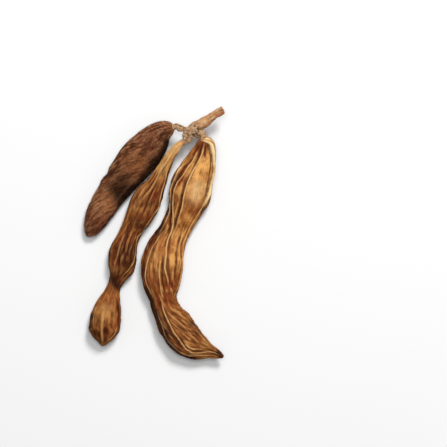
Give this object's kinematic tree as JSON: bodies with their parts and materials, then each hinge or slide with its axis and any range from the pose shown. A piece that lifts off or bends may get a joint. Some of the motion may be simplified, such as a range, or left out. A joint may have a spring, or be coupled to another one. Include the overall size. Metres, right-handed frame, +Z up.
{
  "type": "velvet bean pod bunch",
  "caption": "Cut bunch of dried velvet bean pods lying on a table: short dark pod, slender beaded pod and large ribbed pod, joined by short stems to a knobby stalk.",
  "frame": {"origin": "middle of the bunch's plan, on the table that it rests on", "axes": "+X to the right across the pods, +Y along the bunch from the pods' tips towards the cut end of the stalk, +Z up from the table"},
  "size_m": [0.0534, 0.0957, 0.0115],
  "materials": {
    "dark_velvet": "dried pod husk, dark chocolate brown, matte, under a nap of short velvety hairs",
    "brown_shell": "dried pod husk, mottled golden to dark brown, low sheen, with fine lengthwise wrinkles",
    "golden_shell": "dried pod husk, golden brown, low sheen, with pale ribs and reddish furrows",
    "dry_stalk": "dry stalk, grey-beige to tan, matte, ridged and knobby"
  },
  "bodies": {
    "root": {"left_pod": "dark_velvet", "middle_pod": "brown_shell", "right_pod": "golden_shell", "stalk": "dry_stalk", "left_pod_stem": "dry_stalk", "middle_pod_stem": "dry_stalk", "right_pod_stem": "dry_stalk"}
  },
  "joints": []
}
